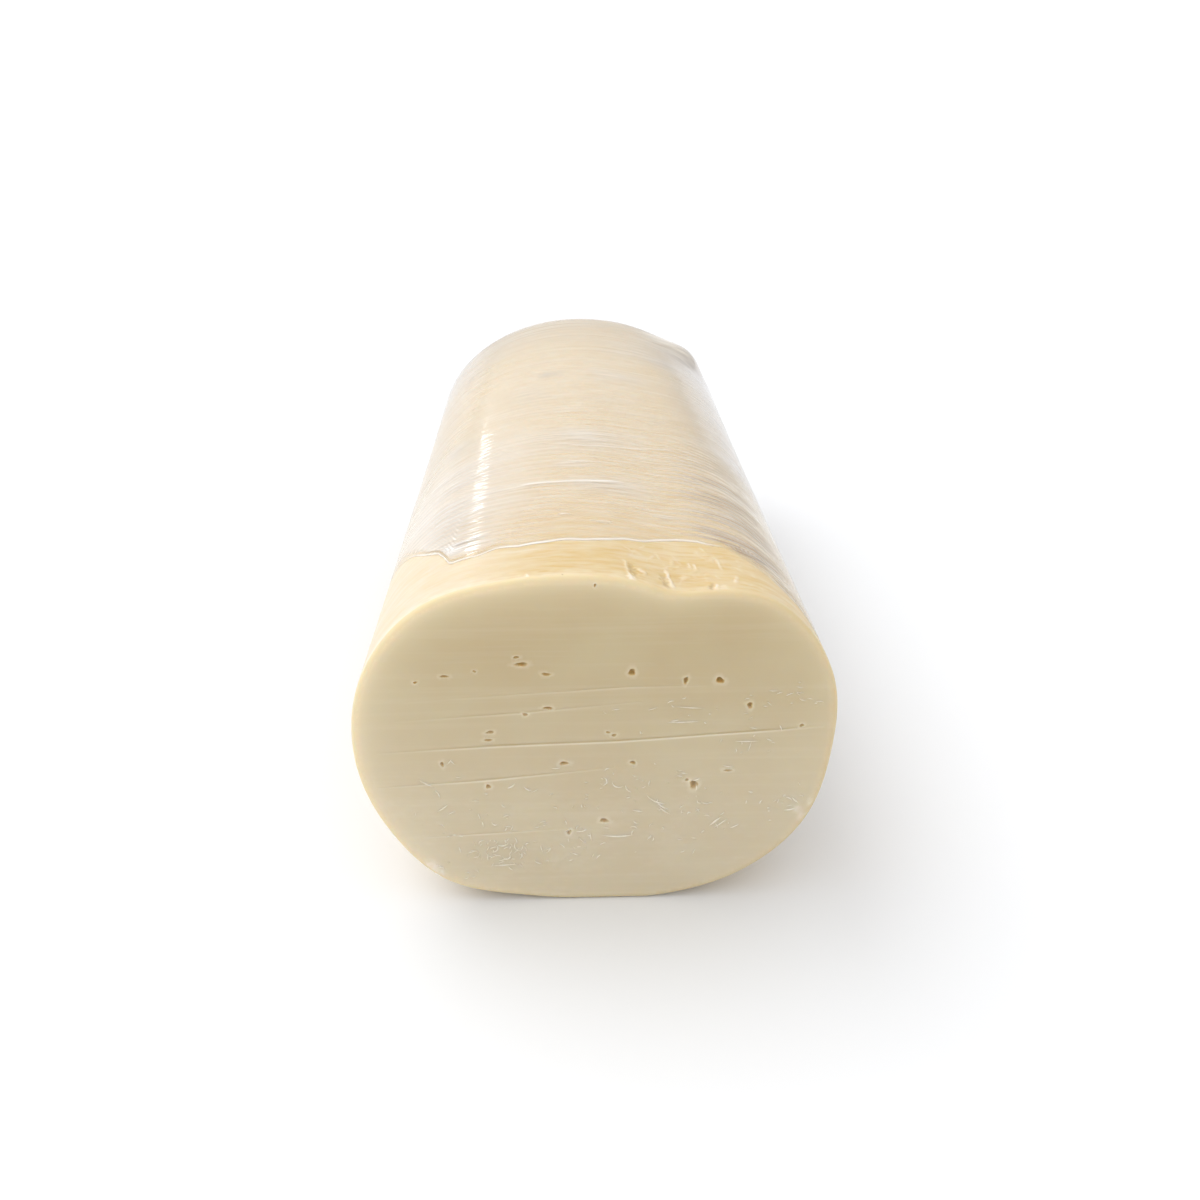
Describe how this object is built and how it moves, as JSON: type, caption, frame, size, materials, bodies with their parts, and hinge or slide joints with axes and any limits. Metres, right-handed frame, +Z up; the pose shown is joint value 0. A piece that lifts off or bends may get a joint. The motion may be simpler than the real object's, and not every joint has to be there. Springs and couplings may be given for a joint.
{
  "type": "smoked cheese log",
  "caption": "Horizontal log of smoked provolone with a flat cut end and a rounded back end, wrapped in clear film from just behind the cut.",
  "frame": {"origin": "middle of the underside of the whole, on the surface it rests on", "axes": "+Y along the log from the cut face to the rounded back end, +Z up, +X to the right seen from the cut face"},
  "size_m": [0.1447, 0.352, 0.1174],
  "materials": {
    "smoked_cheese": "waxy cut cheese with a thin golden smoked rind",
    "clear_film": "clear stretch film, wrinkled and slightly hazy"
  },
  "bodies": {
    "root": {"cheese": "smoked_cheese", "film_wrap": "clear_film"}
  },
  "joints": []
}
